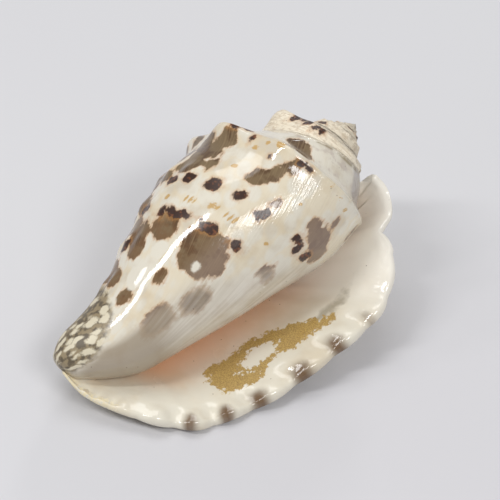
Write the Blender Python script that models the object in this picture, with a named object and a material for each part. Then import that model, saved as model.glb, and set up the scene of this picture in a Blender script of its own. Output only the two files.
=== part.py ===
"""Strombus shell, 75 mm long, lying on its back and its flared lip with the opening up.

The wall is one loft. A cross-section, given by a few depths and radii, grows as it turns round the coil
axis: the spire first, then the body whorl, then the lip, which leaves the whorl and spreads out to a
scalloped rim. Behind the rim the surface turns inward and follows the hollow of the last whorl.

Lengths are in millimetres up to the last step. A place on the whorl is a turn, counted from 0 at the
lip's edge down to negative values toward the apex, and a row, from 0 at the suture to 1 at the tip.
"""

import math

import bmesh
import bpy
import numpy as np


MM = 0.001

# Coil
APEX_HEIGHT = 75.4
APEX_DEPTH = 0.75
TIP_DEPTH = 75.2
COIL_LEAN = math.radians(6.0)
COLUMNS_PER_TURN = 50
SPIRE_TURNS = 4
SPIRE_GROWTH = 1.75
SPIRE_START = -2.0
LIP_ROOT = -0.28
HOLLOW_END = -0.68
HOLLOW_SHUT = 0.6

# Rows of the section
SPIRE_ROWS = 6
SIDE_ROWS = 30
SHOULDER_ROW = 0.178
LIP_SPIRE_ROW = 0.02
SUTURE_ROW = 0.267

# Turn, radius and depth below the apex of the seam between whorls
SUTURE = (
    (-2.0, 5.0, 5.1),
    (-1.75, 5.8, 6.1),
    (-1.5, 6.7, 6.9),
    (-1.25, 7.3, 7.2),
    (-1.0, 7.7, 7.3),
    (-0.9, 8.6, 8.2),
    (-0.828, 9.2, 9.1),
    (-0.74, 10.3, 10.3),
    (-0.67, 11.3, 12.2),
    (-0.6, 12.0, 14.1),
    (-0.5, 12.6, 16.2),
    (-0.4, 13.0, 17.7),
    (-0.28, 13.3, 18.6),
)

# Turn, radius and depth of the shoulder's edge
SHOULDER = (
    (-2.0, 6.6, 5.7),
    (-1.75, 8.4, 7.5),
    (-1.5, 9.8, 8.9),
    (-1.25, 11.6, 10.9),
    (-1.0, 13.6, 13.6),
    (-0.83, 15.2, 15.7),
    (-0.726, 16.2, 17.3),
    (-0.62, 16.7, 19.2),
    (-0.55, 17.0, 20.9),
    (-0.45, 17.9, 24.3),
    (-0.28, 19.4, 27.5),
)

# Depth, and the side's radius at the right edge (turn -1) and the left edge (turn -0.5)
SIDE = (
    (7.0, 12.3, 15.6),
    (10.0, 13.4, 16.4),
    (17.0, 14.3, 16.6),
    (21.4, 14.7, 17.0),
    (30.0, 14.0, 18.1),
    (37.0, 12.9, 17.2),
    (41.0, 12.3, 16.1),
    (47.7, 10.8, 13.9),
    (52.0, 9.7, 12.5),
    (56.0, 8.8, 11.0),
    (60.0, 8.0, 10.1),
    (63.0, 7.4, 9.6),
    (67.0, 6.2, 8.5),
    (71.5, 4.5, 5.9),
    (73.5, 3.5, 4.1),
    (74.6, 2.7, 2.9),
    (75.2, 1.6, 1.6),
)
BACK_GROWTH = 0.35

# Depth, and how far the middle of the section stands from the coil axis
TIP_BEND = (
    (0.0, 0.0),
    (25.0, 0.0),
    (30.0, -0.5),
    (40.0, -1.2),
    (52.0, -1.3),
    (60.0, -1.6),
    (66.0, -2.3),
    (71.0, -4.2),
    (74.6, -5.8),
    (75.2, -6.0),
)

# Turn, height and row of each knob on the shoulder
KNOBS = (
    (-1.83, 0.5, 0.178),
    (-1.66, 0.7, 0.178),
    (-1.5, 1.1, 0.178),
    (-1.33, 1.0, 0.178),
    (-1.17, 0.8, 0.178),
    (-0.98, 0.2, 0.178),
    (-0.84, 0.5, 0.178),
    (-0.69, 1.2, 0.178),
    (-0.5525, 2.2, 0.178),
    (-0.4535, 2.9, 0.178),
    (-0.33, 3.2, 0.178),
    (-0.2, 1.6, 0.235),
)
KNOB_TURN = 0.042
KNOB_ROW = 0.045

# Row, and the rim's distance right of the axis, distance behind it and height above the tip
RIM = (
    (0.03, 9.9, -0.3, 70.9),
    (0.07, 11.8, -0.5, 71.7),
    (0.11, 14.4, -0.6, 71.6),
    (0.15, 16.8, -0.6, 70.5),
    (0.19, 18.5, -0.4, 68.9),
    (0.23, 19.3, 0.2, 66.6),
    (0.26, 20.0, 0.4, 65.3),
    (0.29, 23.2, -0.4, 64.5),
    (0.32, 26.2, -1.0, 62.2),
    (0.35, 28.6, -1.6, 59.4),
    (0.39, 30.8, -2.2, 55.7),
    (0.44, 31.8, -2.6, 50.3),
    (0.5, 31.9, -2.7, 43.4),
    (0.56, 31.7, -2.3, 35.5),
    (0.62, 31.0, -1.9, 27.5),
    (0.68, 29.0, -2.3, 19.7),
    (0.74, 26.8, -2.9, 13.6),
    (0.79, 23.4, -2.7, 9.6),
    (0.84, 19.0, -2.4, 6.1),
    (0.89, 13.6, -1.4, 2.7),
    (0.93, 9.3, -0.6, 0.7),
    (0.965, 6.2, -0.2, 0.05),
)
SCALLOPS = 8
SCALLOP_FROM = 0.3
SCALLOP_TO = 0.86
SCALLOP_REACH = 0.45
HOLD_ROW = 0.3
LIP_LEAVES = 0.75
LIP_ARRIVES = 0.85
SPREAD_STEP = 0.08
SWELL_AWAY = (3.0, 4.0, 0.0)
SWELL_ROW = 0.19
SWELL_SPREAD = 0.15
LIP_FACING = (-0.52, -0.85, 0.0)

# Wall
WALL = 1.6
LIP_WALL = 2.4
BEAD_COLUMNS = 4
HOLLOW_STEP = 2
SEAM_GAP = 1.1
SEAM_GAP_ROWS = 0.1

# Rest
RESTING_UP = (-0.527, -0.803, 0.277)


def smooth_curve(table, x):
    """Smooth curve through a table's rows, the first value of each being the place along it."""
    table = np.array(table, float)
    places, values = table[:, 0], table[:, 1:]
    gaps = np.diff(places)[:, None]
    slopes = np.diff(values, axis=0) / gaps
    tangents = np.empty_like(values)
    tangents[1:-1] = (slopes[:-1] * gaps[1:] + slopes[1:] * gaps[:-1]) / (gaps[1:] + gaps[:-1])
    tangents[0] = slopes[0]
    tangents[-1] = slopes[-1]
    k = np.clip(np.searchsorted(places, x, side="right") - 1, 0, len(places) - 2)
    q = np.clip((x - places[k]) / gaps[k, 0], 0, 1)[..., None]
    start = (2 * q**3 - 3 * q**2 + 1) * values[k] + (q**3 - 2 * q**2 + q) * gaps[k] * tangents[k]
    end = (3 * q**2 - 2 * q**3) * values[k + 1] + (q**3 - q**2) * gaps[k] * tangents[k + 1]
    return start + end


def smooth_step(start, end, x):
    q = np.clip((np.asarray(x, float) - start) / (end - start), 0, 1)
    return q * q * (3 - 2 * q)


def spiral(table, turn):
    """(radius, depth) of a line of the coil. Before the table's first turn it is an even spiral."""
    scale = SPIRE_GROWTH ** np.minimum(turn - SPIRE_START, 0)
    return smooth_curve(table, np.maximum(turn, SPIRE_START)) * scale[..., None]


def side_radius(turn, depth):
    right, left = np.moveaxis(smooth_curve(SIDE, depth), -1, 0)
    growth = (turn + 1) / 0.5
    growth = np.where(growth > 1, 1 + BACK_GROWTH * (growth - 1), growth)
    return right ** (1 - growth) * left**growth


def suture_row(turn):
    """Row of the whorl at this turn on which the next whorl's suture runs."""
    below = spiral(SUTURE, np.minimum(turn + 1, LIP_ROOT))[..., 1]
    edge = spiral(SHOULDER, turn)[..., 1]
    row = SHOULDER_ROW + (1 - SHOULDER_ROW) * (below - edge) / (TIP_DEPTH - edge)
    climb = smooth_step(LIP_ROOT - 1, -1.0, turn)
    return row * (1 - climb) + LIP_SPIRE_ROW * climb


def knob_height(turn, row):
    height = np.zeros(np.broadcast(turn, row).shape)
    for knob_turn, tall, knob_row in KNOBS:
        height += tall * np.exp(-(((turn - knob_turn) / KNOB_TURN) ** 2) - ((row - knob_row) / KNOB_ROW) ** 2)
    return height


def section(turn, row):
    """(radius, depth) of the whorl without its knobs."""
    seam = spiral(SUTURE, turn)
    edge = spiral(SHOULDER, turn)
    ramp = seam + (edge - seam) * np.clip(row / SHOULDER_ROW, 0, 1)[..., None]
    along = np.clip((row - SHOULDER_ROW) / (1 - SHOULDER_ROW), 0, 1)
    depth = edge[..., 1] + (TIP_DEPTH - edge[..., 1]) * along
    offset = edge[..., 0] - side_radius(turn, edge[..., 1])
    radius = side_radius(turn, depth) + offset * np.exp(-along / 0.05)
    side = np.stack([radius, depth], -1)
    return np.where((row < SHOULDER_ROW)[..., None], ramp, side)


def place(turn, radius, depth):
    """Point right of, behind and above the tip, from a turn, a radius and a depth below the apex."""
    angle = -2 * math.pi * turn
    across = radius * np.cos(angle) + smooth_curve(TIP_BEND, depth)[..., 0]
    x = across * math.cos(COIL_LEAN) + depth * math.sin(COIL_LEAN)
    z = APEX_HEIGHT - depth * math.cos(COIL_LEAN) + across * math.sin(COIL_LEAN)
    return np.stack([x, radius * np.sin(angle), z], -1)


def whorl(turn, row, knobs=True):
    turn, row = np.broadcast_arrays(np.asarray(turn, float), np.asarray(row, float))
    radius, depth = np.moveaxis(section(turn, row), -1, 0)
    if knobs:
        radius = radius + knob_height(turn, row)
    return place(turn, radius, depth)


def rim(row):
    """The lip's outer edge, from where it meets the spire to the tip."""
    start = whorl(-1.0, LIP_SPIRE_ROW)
    tip = place(-1.0, 0.0, TIP_DEPTH)
    table = [(0.0, *start)] + list(RIM) + [(1.0, *tip)]
    return smooth_curve(table, row)


def rim_outward(row, step=0.004):
    """Direction away from the lip in its own plane, square to the rim."""
    along = rim(np.minimum(row + step, 1.0)) - rim(np.maximum(row - step, 0.0))
    return unit(np.cross(np.array(LIP_FACING), along))


def unit(vector):
    return vector / (np.linalg.norm(vector, axis=-1, keepdims=True) + 1e-9)


def scallop(row):
    """How far the wavy rim stands out at a row."""
    along = np.clip((row - SCALLOP_FROM) / (SCALLOP_TO - SCALLOP_FROM), 0, 1)
    wave = np.abs(np.sin(math.pi * SCALLOPS * along)) - 0.5
    return SCALLOP_REACH * wave * ((along > 0) & (along < 1))


def free_lip(turn, row):
    """The lip as it would spread if nothing held it on the spire, from the whorl's back to the rim."""
    u = ((turn - LIP_ROOT) / -LIP_ROOT)[..., None]
    root = whorl(LIP_ROOT, row, False)
    step = 0.004
    leave = unit(root - whorl(LIP_ROOT - step, row, False))
    outward = rim_outward(row, SPREAD_STEP)
    edge = rim(row) + rim_outward(row) * scallop(row)[..., None]
    reach = np.linalg.norm(edge - root, axis=-1, keepdims=True)
    return (
        (2 * u**3 - 3 * u**2 + 1) * root
        + (u**3 - 2 * u**2 + u) * leave * reach * LIP_LEAVES
        + (3 * u**2 - 2 * u**3) * edge
        + (u**3 - u**2) * outward * reach * LIP_ARRIVES
    )


def lip(turn, row, knobs=True):
    """Outer face of the lip. Its first row follows the seam on the spire."""
    across = (turn - LIP_ROOT) / -LIP_ROOT
    swell = np.sin(math.pi * across) * np.exp(-(((row - SWELL_ROW) / SWELL_SPREAD) ** 2))
    swell = swell * smooth_step(0, 0.1, row)
    face = free_lip(turn, row) + np.array(SWELL_AWAY) * swell[..., None]
    if knobs:
        face = face + np.array((0.0, 1.0, 0.0)) * knob_height(turn, row)[..., None]
    seam = whorl(turn - 1, suture_row(turn - 1))
    hold = 1 - smooth_step(0.0, HOLD_ROW, row)
    return face + (seam - free_lip(turn, np.zeros_like(row))) * hold[..., None]


def outer(turn, row, knobs=True):
    turn, row = np.broadcast_arrays(np.asarray(turn, float), np.asarray(row, float))
    on_lip = (turn > LIP_ROOT)[..., None]
    return np.where(on_lip, lip(np.maximum(turn, LIP_ROOT), row, knobs), whorl(turn, row, knobs))


def rows_at(turn):
    """Rows of a column of the last whorl. The first few are those that the spire continues."""
    seam_row = LIP_SPIRE_ROW + (SUTURE_ROW - LIP_SPIRE_ROW) * smooth_step(-1.0, -0.8, turn)
    upper = np.linspace(0, seam_row, SPIRE_ROWS + 1)
    return np.concatenate([upper, np.linspace(seam_row, 1, SIDE_ROWS + 1)[1:]])


def spire_column(turn):
    if turn >= SPIRE_START:
        return whorl(turn, np.linspace(0, suture_row(np.array(turn)), SPIRE_ROWS + 1))
    turn = np.array(turn)
    share = np.linspace(0, 1, SPIRE_ROWS + 1)[:, None]
    seam, edge, below = spiral(SUTURE, turn), spiral(SHOULDER, turn), spiral(SUTURE, turn + 1)
    ramp = seam + (edge - seam) * share * 1.5
    line = np.where(share < 2 / 3, ramp, edge + (below - edge) * (share * 3 - 2))
    return place(turn, line[:, 0], line[:, 1])


def wall_thickness(turn, row):
    lip_part = smooth_step(-0.16, -0.02, turn)
    thick = WALL + (LIP_WALL - WALL) * lip_part
    return thick * (1 - 0.6 * smooth_step(0.8, 1.0, row))


def inner_face(turns, rows):
    """The wall's inner face: the outer face moved inward by the wall's thickness."""
    face = outer(turns, rows, False)
    step = 0.003
    after, before = np.minimum(turns + step, 0), turns - step
    below, above = np.minimum(rows + step, 1), np.maximum(rows - step, 0)
    along_turn = outer(after, rows, False) - outer(before, rows, False)
    along_row = outer(turns, below, False) - outer(turns, above, False)
    inward = unit(np.cross(along_row, along_turn))
    return face + inward * wall_thickness(turns, rows)[..., None]


def hollow_ring(turn):
    """Closed section of the hollow: the wall's inner face, and the earlier whorl facing it."""
    rows = rows_at(turn)
    inside = float(smooth_step(0.0, 0.06, -turn))
    first = float(suture_row(np.array(turn - 1))) + 0.04 * inside
    last = 1 - 0.03 * inside - 0.16 * float(smooth_step(0.0, 0.3, -turn))
    facing = whorl(turn - 1, np.linspace(first, last, SIDE_ROWS + 1), False)
    shortened = HOLD_ROW + (rows - HOLD_ROW) * (last - HOLD_ROW) / (1 - HOLD_ROW)
    wall_rows = np.where(rows > HOLD_ROW, shortened, rows)
    wall = inner_face(np.full(rows.shape, turn), wall_rows)
    hold_top = (1 - smooth_step(0.0, 0.2, rows))[:, None]
    hold_tip = smooth_step(0.86, 1.0, rows)[:, None]
    wall = wall + (facing[0] - wall[0]) * hold_top + (facing[-1] - wall[-1]) * hold_tip
    away = place(np.array(turn), 1.0, np.array(0.0)) - place(np.array(turn), 0.0, np.array(0.0))
    wall = wall + away * SEAM_GAP * np.sin(math.pi * np.clip(rows / SEAM_GAP_ROWS, 0, 1))[:, None]
    wall[0], wall[-1] = facing[0], facing[-1]
    shut = float(smooth_step(HOLLOW_END + 0.1, HOLLOW_END, turn))
    middle = np.concatenate([wall, facing]).mean(axis=0)
    return wall + (middle - wall) * shut * HOLLOW_SHUT, facing + (middle - facing) * shut * HOLLOW_SHUT


class Loft:
    """Points and faces, with each column's points kept by number."""

    def __init__(self):
        self.points = []
        self.faces = []

    def add(self, points):
        first = len(self.points)
        self.points.extend(points)
        return list(range(first, len(self.points)))

    def strip(self, left, right):
        """Faces between two columns of point numbers. Equal numbers make a triangle."""
        for a, b, c, d in zip(left, left[1:], right[1:], right):
            face = list(dict.fromkeys((a, b, c, d)))
            if len(face) > 2:
                self.faces.append(face)

    def fan(self, middle, edge):
        for a, b in zip(edge, edge[1:]):
            self.faces.append((middle, a, b))


def build_shell():
    loft = Loft()
    per_turn = COLUMNS_PER_TURN
    spire_count = SPIRE_TURNS * per_turn
    turns = [-1 - SPIRE_TURNS + k / per_turn for k in range(spire_count + per_turn + 1)]
    tip = loft.add([place(-1.0, 0.0, TIP_DEPTH)])[0]
    columns = []
    for k, turn in enumerate(turns):
        if k < spire_count:
            columns.append(loft.add(spire_column(turn)[:-1]))
        else:
            points = outer(turn, rows_at(turn))[:-1]
            columns.append(loft.add(points) + [tip])
    # The lip starts on the whorl before it, so those two columns share one point.
    columns[spire_count][SPIRE_ROWS] = columns[-1][0]
    for k in range(spire_count):
        columns[k].append(columns[k + per_turn][0])
    for k in range(spire_count):
        loft.strip(columns[k], columns[k + 1][: SPIRE_ROWS + 1])
    for k in range(spire_count, spire_count + per_turn):
        loft.strip(columns[k], columns[k + 1])
    apex = loft.add([place(-1.0, 0.0, APEX_DEPTH)])[0]
    loft.fan(apex, [columns[k][0] for k in range(per_turn + 1)])
    loft.fan(apex, columns[0][::-1])
    first_ring = close_rim(loft, columns[-1])
    build_hollow(loft, first_ring, columns[spire_count][SPIRE_ROWS:])
    return loft


def close_rim(loft, edge):
    """Rounded bead from the lip's outer face to its inner face."""
    rows = rows_at(0.0)
    start = np.array([loft.points[k] for k in edge])
    outward = rim_outward(rows)
    along = np.gradient(start, axis=0)
    inward = unit(np.cross(along, outward))
    thick = wall_thickness(np.zeros_like(rows), rows) * smooth_step(0.0, 0.05, rows)
    previous = edge
    for k in range(1, BEAD_COLUMNS + 1):
        angle = math.pi * k / BEAD_COLUMNS
        across = inward * (thick * (1 - math.cos(angle)) / 2)[:, None]
        bulge = outward * (thick * math.sin(angle) * 0.35)[:, None]
        points = start + across + bulge
        column = [edge[0]] + loft.add(points[1:-1]) + [edge[-1]]
        loft.strip(previous, column)
        previous = column
    return previous


def build_hollow(loft, wall_edge, facing_edge):
    ring_turns = np.arange(-HOLLOW_STEP, HOLLOW_END * COLUMNS_PER_TURN - 0.1, -HOLLOW_STEP) / COLUMNS_PER_TURN
    wall_before, facing_before = wall_edge, facing_edge
    for turn in ring_turns:
        wall, facing = hollow_ring(float(turn))
        wall_now = loft.add(wall)
        facing_now = [wall_now[0]] + loft.add(facing[1:-1]) + [wall_now[-1]]
        loft.strip(wall_before, wall_now)
        loft.strip(facing_now, facing_before)
        wall_before, facing_before = wall_now, facing_now
    loft.fan(wall_before[SPIRE_ROWS], wall_before[:SPIRE_ROWS])
    loft.strip(wall_before[SPIRE_ROWS:], [wall_before[0]] + facing_before[1:])


def rest_on_ground(points):
    """Turns the shell so that its resting direction points up and its apex toward +X, in metres."""
    up = unit(np.array(RESTING_UP))
    forward = unit(np.array((0.0, 0.0, 1.0)) - up * up[2])
    side = np.cross(up, forward)
    turned = np.array(points) @ np.stack([forward, side, up], 1) * MM
    low, high = turned.min(axis=0), turned.max(axis=0)
    return turned - np.array([(low[0] + high[0]) / 2, (low[1] + high[1]) / 2, low[2]])


def shell_material():
    material = bpy.data.materials.new("shell")
    material.use_nodes = True
    surface = material.node_tree.nodes["Principled BSDF"]
    surface.inputs["Base Color"].default_value = (0.76, 0.7, 0.6, 1)
    surface.inputs["Roughness"].default_value = 0.3
    return material


def main():
    for item in list(bpy.data.objects):
        bpy.data.objects.remove(item)
    loft = build_shell()
    mesh = bpy.data.meshes.new("shell")
    mesh.from_pydata([tuple(p) for p in rest_on_ground(loft.points)], [], loft.faces)
    shape = bmesh.new()
    shape.from_mesh(mesh)
    bmesh.ops.recalc_face_normals(shape, faces=shape.faces)
    bmesh.ops.triangulate(shape, faces=shape.faces)
    shape.to_mesh(mesh)
    shape.free()
    mesh.shade_smooth()
    mesh.materials.append(shell_material())
    shell = bpy.data.objects.new("shell", mesh)
    group = bpy.data.collections.new("strombus_shell")
    bpy.context.scene.collection.children.link(group)
    group.objects.link(shell)


main()
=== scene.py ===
"""Strombus shell, lying on its back and its flared lip on a pale floor, the opening up.

The form is the solid's, with a finer surface: low nodules and beads, a crest on the shoulder and a
folded rim, a few knobs a little taller and the lower left side a little slimmer. Each point carries
the amounts that the colours are mixed by.

Lengths of the shell are in millimetres until in_frame turns it as it rests. A place on the whorl is a
turn, 0 at the lip's edge and negative toward the apex, and a row, 0 at the suture and 1 at the tip.
A pair named for turns or rows gives where a change starts and where it is complete.
"""

import math

import bmesh
import bpy
import numpy as np
from mathutils import Matrix, Vector


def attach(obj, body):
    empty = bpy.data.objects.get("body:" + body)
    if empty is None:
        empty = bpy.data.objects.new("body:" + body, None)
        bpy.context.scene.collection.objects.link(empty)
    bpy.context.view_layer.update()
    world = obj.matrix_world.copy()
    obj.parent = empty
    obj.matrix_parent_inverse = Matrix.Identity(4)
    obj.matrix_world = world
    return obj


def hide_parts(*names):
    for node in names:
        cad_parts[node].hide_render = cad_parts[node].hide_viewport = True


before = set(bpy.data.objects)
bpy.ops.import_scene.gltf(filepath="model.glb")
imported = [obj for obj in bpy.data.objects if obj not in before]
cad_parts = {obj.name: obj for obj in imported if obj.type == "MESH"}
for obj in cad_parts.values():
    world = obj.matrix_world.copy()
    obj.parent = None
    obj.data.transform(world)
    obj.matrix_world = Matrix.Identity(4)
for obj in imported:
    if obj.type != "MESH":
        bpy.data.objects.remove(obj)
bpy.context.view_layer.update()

MM = 0.001

# Coil
APEX_HEIGHT = 75.4
APEX_DEPTH = 0.0
TIP_DEPTH = 75.2
COIL_LEAN = math.radians(6.0)
COLUMNS_PER_TURN = 200
SPIRE_TURNS = 5
SPIRE_GROWTH = 1.75
SPIRE_START = -2.0
RAMP_SHARE = 2 / 3
LIP_ROOT = -0.28
TIP_TURN = -0.8
APEX_TURN = -5.0

# Rows of the section
SPIRE_ROWS = 24
SIDE_ROWS = 110
SHOULDER_ROW = 0.178
SHOULDER_BLEND = 0.05
LIP_SPIRE_ROW = 0.02
SUTURE_ROW = 0.267
SEAM_TURNS = (-1.0, -0.8)
SIDE_HEIGHT = 58.0

# Turn, radius and depth below the apex of the seam between whorls
SUTURE = (
    (-2.0, 5.0, 5.1), (-1.75, 5.8, 6.1), (-1.5, 6.7, 6.9),
    (-1.25, 7.3, 7.2), (-1.0, 7.7, 7.3), (-0.9, 8.6, 8.2),
    (-0.828, 9.2, 9.1), (-0.74, 10.3, 10.3), (-0.67, 11.3, 12.2),
    (-0.6, 12.0, 14.1), (-0.5, 12.6, 16.2), (-0.4, 13.0, 17.7),
    (-0.28, 13.3, 18.6),
)

# Turn, radius and depth of the shoulder's edge
SHOULDER = (
    (-2.0, 6.6, 5.7), (-1.75, 8.4, 7.5), (-1.5, 9.8, 8.9),
    (-1.25, 11.6, 10.9), (-1.0, 13.6, 13.6), (-0.83, 15.2, 15.7),
    (-0.726, 16.2, 17.3), (-0.62, 16.7, 19.2), (-0.55, 17.0, 20.9),
    (-0.45, 17.9, 24.3), (-0.28, 19.4, 27.5),
)

# Depth, and the side's radius at the right edge (turn -1) and the left edge (turn -0.5)
SIDE = (
    (7.0, 12.3, 15.6), (10.0, 13.4, 16.4), (17.0, 14.3, 16.6),
    (21.4, 14.7, 17.0), (30.0, 14.0, 18.1), (37.0, 12.9, 17.2),
    (41.0, 12.3, 16.1), (47.7, 10.8, 13.9), (52.0, 9.7, 12.5),
    (56.0, 8.8, 10.8), (60.0, 8.0, 9.7), (63.0, 7.4, 9.1),
    (67.0, 6.2, 8.1), (71.5, 4.5, 5.9), (73.5, 3.5, 4.1),
    (74.6, 2.7, 2.9), (75.2, 1.6, 1.6),
)
BACK_GROWTH = 0.35

# Depth, and how far the middle of the section stands from the coil axis
TIP_BEND = (
    (0.0, 0.0), (25.0, 0.0), (30.0, -0.5), (40.0, -1.2), (52.0, -1.3),
    (60.0, -1.6), (66.0, -2.3), (71.0, -4.2), (74.6, -5.8), (75.2, -6.0),
)

# Turn, height and row of each knob on the shoulder
KNOBS = (
    (-1.83, 0.5, 0.178), (-1.66, 0.7, 0.178), (-1.51, 2.3, 0.178),
    (-1.44, 1.3, 0.178), (-1.33, 1.0, 0.178), (-1.17, 0.8, 0.178),
    (-0.98, 0.2, 0.178), (-0.84, 0.5, 0.178), (-0.69, 1.2, 0.178),
    (-0.5525, 2.5, 0.178), (-0.448, 3.3, 0.178), (-0.33, 3.2, 0.178),
    (-0.2, 1.6, 0.235),
)
KNOB_TURN = 0.042
KNOB_ROW = 0.045

# Row, and the rim's distance right of the axis, distance behind it and height above the tip
RIM = (
    (0.03, 9.9, -0.3, 70.9), (0.07, 11.8, -0.5, 71.7), (0.11, 14.4, -0.6, 71.6),
    (0.15, 16.8, -0.6, 70.5), (0.19, 18.5, -0.4, 68.9), (0.23, 19.3, 0.2, 66.6),
    (0.26, 20.0, 0.4, 65.3), (0.29, 23.2, -0.4, 64.5), (0.32, 26.2, -1.0, 62.2),
    (0.35, 28.6, -1.6, 59.4), (0.39, 30.8, -2.2, 55.7), (0.44, 31.8, -2.6, 50.3),
    (0.5, 31.9, -2.7, 43.4), (0.56, 31.7, -2.3, 35.5), (0.62, 31.0, -1.9, 27.5),
    (0.68, 29.0, -2.3, 19.7), (0.74, 26.8, -2.9, 13.6), (0.79, 23.4, -2.7, 9.6),
    (0.84, 19.0, -2.4, 6.1), (0.89, 13.6, -1.4, 2.7), (0.93, 9.3, -0.6, 0.7),
    (0.965, 6.2, -0.2, 0.05),
)
SCALLOPS = 8
SCALLOP_FROM = 0.3
SCALLOP_TO = 0.86
SCALLOP_REACH = 0.45
HOLD_ROW = 0.3
LIP_LEAVES = 0.75
LIP_ARRIVES = 0.85
SPREAD_STEP = 0.08
SWELL_AWAY = (3.0, 4.0, 0.0)
SWELL_ROW = 0.19
SWELL_SPREAD = 0.15
SWELL_ROWS = (0.0, 0.1)
LIP_FACING = (-0.52, -0.85, 0.0)
RIM_LENGTH = 110.0
LIP_REACH = 118.0

# Distances over which directions on the surface are measured, in turns and rows
LIP_STEP = 0.004
WALL_STEP = 0.003
CARVED_STEP = 0.002

# Wall, and the rounded bead of the rim
WALL = 1.6
LIP_WALL = 2.4
LIP_WALL_TURNS = (-0.16, -0.02)
LOBE_THINNER = 0.4
LOBE_WALL_ROWS = (0.15, 0.32)
TIP_THINNER = 0.6
TIP_WALL_ROWS = (0.8, 1.0)
RIM_WALL_ROWS = (0.0, 0.05)
BEAD_COLUMNS = 14
BEAD_BULGE = 0.4
BEAD_ROWS = (0.05, 0.3)

# Hollow behind the lip
HOLLOW_END = -0.68
HOLLOW_SHUT = 0.6
HOLLOW_SHUT_TURNS = 0.1
HOLLOW_STARTS = (0.0, 0.06)
BELOW_SEAM = 0.04
ABOVE_TIP = 0.03
TIP_RISE = 0.16
TIP_RISE_TURNS = (0.0, 0.3)
TOP_HELD_ROWS = (0.0, 0.2)
TIP_HELD_ROWS = (0.86, 1.0)
SEAM_GAP = 1.1
SEAM_GAP_ROWS = 0.1

# Rest, and how far the shell's own zero lies from the frame's
RESTING_UP = (-0.527, -0.803, 0.277)
FRAME_SHIFT = (36.02, -5.65, -8.1)

# Row, first turn, last turn and height of each row of nodules
NODULES = (
    (0.36, -0.6, -0.3, 0.6),
    (0.48, -0.58, -0.3, 0.6),
    (0.6, -0.58, -0.3, 0.55),
    (0.73, -0.58, -0.3, 0.45),
)
NODULE_SPACING = 0.05
NODULE_WIDTH = 0.016
NODULE_TALL = 0.03
NODULE_FADE = 0.12

# Beads of the spire: how many a whorl, how high, and where between two seams
SPIRE_BEADS = 13
SPIRE_BEAD_HEIGHT = 0.55
BEAD_PLACE = 0.62
BEAD_SPREAD = 0.22
BEADLESS_TURNS = (-2.0, -1.8)

# Crest of the shoulder and the shallow hollow above it
CREST_HEIGHT = 0.35
CREST_SPREAD = 0.012
RAMP_HOLLOW = 0.6
RAMP_HOLLOW_ROW = 0.115
RAMP_HOLLOW_SPREAD = 0.045
CREST_TURNS = (-0.64, -0.72)

# Folds of the lip between its scallops, and the smaller ones at its front end
FOLD_HEIGHT = 0.2
FOLD_DEPTH = 0.5
FOLD_TURNS = (-0.04, -0.01)
FOLD_ROWS = (0.26, 0.5)
FOLD_FADE = 0.06
END_FOLDS = 3.5
END_FOLDS_TO = 0.975
END_FOLD_SHARE = 0.6
END_FOLD_FADE = 0.15

# Marks of each colour: turn, row, and half length round the whorl and half height in millimetres
DARK_MARKS = (
    (-0.646, 0.377, 1.8, 1.3), (-0.695, 0.363, 1.0, 1.0), (-0.749, 0.371, 1.2, 1.1),
    (-0.83, 0.35, 0.7, 0.9), (-0.84, 0.358, 0.6, 0.8), (-0.852, 0.366, 0.8, 1.0),
    (-0.884, 0.363, 1.0, 0.9), (-0.591, 0.387, 1.3, 1.1), (-0.555, 0.401, 1.1, 0.9),
    (-0.69, 0.487, 1.4, 0.8), (-0.706, 0.482, 1.4, 0.9), (-0.765, 0.48, 1.5, 0.9),
    (-0.616, 0.5, 2.0, 1.0), (-0.59, 0.512, 1.6, 0.9), (-0.636, 0.49, 1.4, 0.8),
    (-0.727, 0.192, 0.8, 0.7), (-0.742, 0.188, 0.8, 0.35), (-0.623, 0.188, 0.5, 1.1),
    (-0.95, 0.22, 0.5, 0.9), (-1.57, 0.185, 0.9, 1.0), (-1.6, 0.175, 0.9, 1.1),
    (-1.63, 0.18, 0.9, 1.0), (-1.66, 0.19, 0.8, 0.8), (-1.685, 0.186, 0.6, 0.6),
    (-0.58, 0.18, 0.9, 0.8), (-0.598, 0.166, 0.9, 0.8), (-0.676, 0.228, 0.5, 0.5),
    (-0.53, 0.5, 1.6, 1.1), (-0.5, 0.41, 1.3, 1.2), (-0.45, 0.38, 2.0, 1.3),
)
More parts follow.
